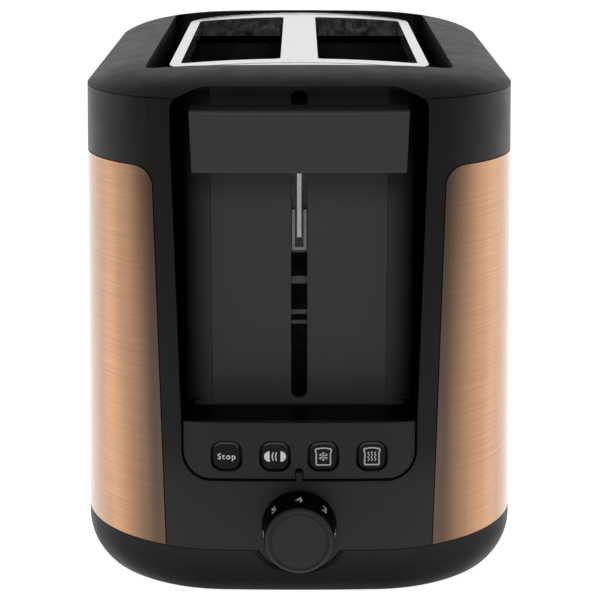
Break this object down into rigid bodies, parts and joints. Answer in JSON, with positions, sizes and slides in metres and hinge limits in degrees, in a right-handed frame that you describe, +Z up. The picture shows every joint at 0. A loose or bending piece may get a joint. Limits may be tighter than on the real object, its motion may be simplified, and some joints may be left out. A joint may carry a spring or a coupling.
{
  "type": "pop up toaster",
  "caption": "Pop-up toaster with wide bread slots, a rounded black body, brushed copper sides, a front lever bay, push buttons and a browning dial.",
  "frame": {"origin": "middle of the whole footprint, on the surface that the feet stand on", "axes": "+Z up, -Y towards the lever and dial end, +X to the right seen from that end"},
  "size_m": [0.1692, 0.2914, 0.1981],
  "materials": {
    "satin_black": "satin",
    "inner_black": "matte",
    "control_black": "satin",
    "brushed_copper": "brushed",
    "chrome": "polished",
    "steel": "satin",
    "dark_steel": "blackened",
    "mica": "matte",
    "ribbon": "oxidised",
    "rubber": "matte",
    "circuit_board": "satin",
    "winding": "satin",
    "white_plastic": "satin"
  },
  "bodies": {
    "body": {"base_tray": "satin_black", "foot_front_left": "rubber", "foot_front_right": "rubber", "foot_rear_left": "rubber", "foot_rear_right": "rubber", "base_screws": "steel", "housing": "satin_black", "bay_liner": "inner_black", "top_cover": "satin_black", "slot_well": "inner_black", "slot_frame": "chrome", "side_panel_left": "brushed_copper", "side_panel_right": "brushed_copper", "lever_track_panel": "satin_black", "control_insert": "control_black", "potentiometer": "steel", "control_board": "circuit_board", "electromagnet": "winding", "guide_rod_left": "chrome", "guide_rod_right": "chrome", "return_spring_left": "steel", "return_spring_right": "steel", "reflector_left": "dark_steel", "reflector_right": "dark_steel", "end_plate_front": "dark_steel", "end_plate_rear": "dark_steel", "heater_board_left": "mica", "heater_board_centre": "mica", "heater_board_right": "mica", "heater_ribbon_left": "ribbon", "heater_ribbon_centre": "ribbon", "heater_ribbon_right": "ribbon", "rear_panel": "satin_black", "cord_gland": "rubber", "terminal_block": "white_plastic"},
    "lever": {"lever_handle": "satin_black", "lever_stem": "chrome", "stem_clip": "chrome", "carriage": "dark_steel", "latch_armature": "steel", "bread_carrier_left": "dark_steel", "bread_carrier_right": "dark_steel"},
    "dial": {"dial_knob": "satin_black", "dial_shaft": "steel"},
    "crumb": {"crumb_tray": "steel", "crumb_tray_handle": "satin_black"},
    "button_stop": {"button_stop": "control_black"},
    "button_bagel": {"button_bagel": "control_black"},
    "button_defrost": {"button_defrost": "control_black"},
    "button_reheat": {"button_reheat": "control_black"},
    "guard_left_outer": {"bread_guard_left_outer": "dark_steel"},
    "guard_left_inner": {"bread_guard_left_inner": "dark_steel"},
    "guard_right_inner": {"bread_guard_right_inner": "dark_steel"},
    "guard_right_outer": {"bread_guard_right_outer": "dark_steel"}
  },
  "joints": [
    {"name": "lever_slide", "type": "slide", "parent": "body", "child": "lever", "axis": [0, 0, -1], "range_m": [0, 0.056], "stiffness_N_per_m": 120, "springref_m": -0.03, "deforming": ["return_spring_left", "return_spring_right"]},
    {"name": "dial_turn", "type": "hinge", "parent": "body", "child": "dial", "pos_m": [0, -0.13678, 0.0293], "axis": [0, 1, 0], "range_deg": [-135, 180]},
    {"name": "crumb_slide", "type": "slide", "parent": "body", "child": "crumb", "axis": [0, 1, 0], "range_m": [0, 0.2]},
    {"name": "stop_press", "type": "slide", "parent": "body", "child": "button_stop", "axis": [0, 1, 0], "range_m": [0, 0.0012], "stiffness_N_per_m": 600, "springref_m": -0.001},
    {"name": "bagel_press", "type": "slide", "parent": "body", "child": "button_bagel", "axis": [0, 1, 0], "range_m": [0, 0.0012], "stiffness_N_per_m": 600, "springref_m": -0.001},
    {"name": "defrost_press", "type": "slide", "parent": "body", "child": "button_defrost", "axis": [0, 1, 0], "range_m": [0, 0.0012], "stiffness_N_per_m": 600, "springref_m": -0.001},
    {"name": "reheat_press", "type": "slide", "parent": "body", "child": "button_reheat", "axis": [0, 1, 0], "range_m": [0, 0.0012], "stiffness_N_per_m": 600, "springref_m": -0.001},
    {"name": "guard_left_outer_slide", "type": "slide", "parent": "body", "child": "guard_left_outer", "axis": [1, 0, 0], "range_m": [0, 0.006]},
    {"name": "guard_left_inner_slide", "type": "slide", "parent": "body", "child": "guard_left_inner", "axis": [-1, 0, 0], "range_m": [0, 0.006]},
    {"name": "guard_right_inner_slide", "type": "slide", "parent": "body", "child": "guard_right_inner", "axis": [1, 0, 0], "range_m": [0, 0.006]},
    {"name": "guard_right_outer_slide", "type": "slide", "parent": "body", "child": "guard_right_outer", "axis": [-1, 0, 0], "range_m": [0, 0.006]}
  ],
  "couplings": [
    {"joint": "guard_left_outer_slide", "follows": "lever_slide", "ratio": 0.107},
    {"joint": "guard_left_inner_slide", "follows": "lever_slide", "ratio": 0.107},
    {"joint": "guard_right_inner_slide", "follows": "lever_slide", "ratio": 0.107},
    {"joint": "guard_right_outer_slide", "follows": "lever_slide", "ratio": 0.107}
  ]
}
